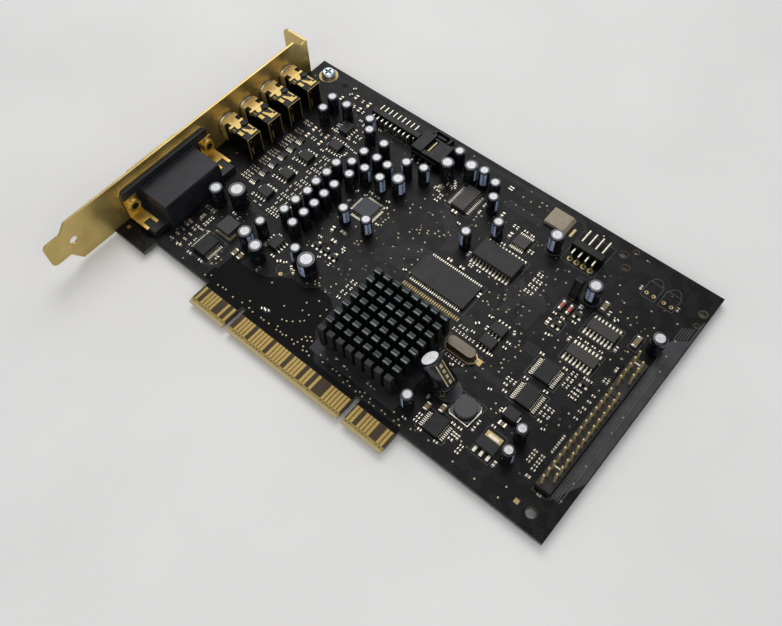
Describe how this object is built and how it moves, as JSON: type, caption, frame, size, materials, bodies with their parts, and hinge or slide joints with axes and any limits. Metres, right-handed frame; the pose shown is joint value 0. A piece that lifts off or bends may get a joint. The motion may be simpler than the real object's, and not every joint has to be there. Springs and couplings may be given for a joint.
{
  "type": "pci sound card",
  "caption": "Full-height black expansion card with a gold bracket, audio jacks, a D-sub port, a pin-fin heat sink, rows of small capacitors and a keyed edge connector.",
  "frame": {"origin": "middle of the edge connector's leading edge, at half the board's thickness", "axes": "+X along the card away from the bracket, +Y from the edge connector towards the board's top edge, +Z out of the component side"},
  "size_m": [0.1817, 0.1269, 0.0194],
  "materials": {
    "solder_mask_board": "black solder mask over glass-epoxy, semi-gloss",
    "gold_contacts": "gold plating over copper",
    "gold_bracket": "gold-toned plating on folded sheet steel",
    "gold_shield": "bright gold plating on stamped sheet",
    "screw_steel": "zinc-plated steel",
    "tinned_steel": "bright tinned steel",
    "black_plastic": "moulded black plastic",
    "black_anodising": "black anodised aluminium",
    "chip_epoxy": "dark moulded epoxy",
    "tinned_leads": "tinned leads",
    "capacitor_sleeve": "black sleeve with a bare aluminium top",
    "gold_pins": "gold-flashed square pins",
    "pale_can": "pale plated can",
    "ferrite": "dark ferrite",
    "film_case": "moulded black case",
    "red_glass": "red glass body",
    "chip_ceramic": "fired ceramic"
  },
  "bodies": {
    "root": {"circuit_board": "solder_mask_board", "edge_contacts_front": "gold_contacts", "edge_contacts_back": "gold_contacts", "mounting_bracket": "gold_bracket", "jack_1_shield": "gold_shield", "jack_2_shield": "gold_shield", "jack_3_shield": "gold_shield", "jack_4_shield": "gold_shield", "jack_1_contacts": "gold_shield", "jack_2_contacts": "gold_shield", "jack_3_contacts": "gold_shield", "jack_4_contacts": "gold_shield", "port_ground_straps": "gold_shield", "bracket_screw": "screw_steel", "port_shell": "tinned_steel", "port_standoffs": "tinned_steel", "crystal_can": "tinned_steel", "wire_links": "tinned_steel", "leaning_capacitor_wires": "tinned_steel", "jack_1_housing": "black_plastic", "jack_2_housing": "black_plastic", "jack_3_housing": "black_plastic", "jack_4_housing": "black_plastic", "port_housing": "black_plastic", "pin_header_bodies": "black_plastic", "panel_header_body": "black_plastic", "drive_header_body": "black_plastic", "audio_connector": "black_plastic", "heat_sink": "black_anodising", "processor": "chip_epoxy", "memory_chip": "chip_epoxy", "codec_chip": "chip_epoxy", "receiver_chip": "chip_epoxy", "converter_chips": "chip_epoxy", "switching_controller": "chip_epoxy", "clock_buffer": "chip_epoxy", "line_amplifiers": "chip_epoxy", "output_amplifiers": "chip_epoxy", "bus_bridge": "chip_epoxy", "logic_chips": "chip_epoxy", "regulator_body": "chip_epoxy", "rectifier_body": "chip_epoxy", "bus_bridge_leads": "tinned_leads", "logic_chips_leads": "tinned_leads", "regulator_metal": "tinned_leads", "rectifier_leads": "tinned_leads", "small_capacitors": "capacitor_sleeve", "large_capacitors": "capacitor_sleeve", "leaning_capacitor": "capacitor_sleeve", "pin_header_posts": "gold_pins", "panel_header_pins": "gold_pins", "drive_header_pins": "gold_pins", "audio_connector_pins": "gold_pins", "oscillator_can": "pale_can", "choke_carrier": "ferrite", "choke_core": "ferrite", "shielded_inductor": "ferrite", "film_capacitor": "film_case", "glass_diodes": "red_glass", "chip_capacitors": "chip_ceramic"}
  },
  "joints": []
}
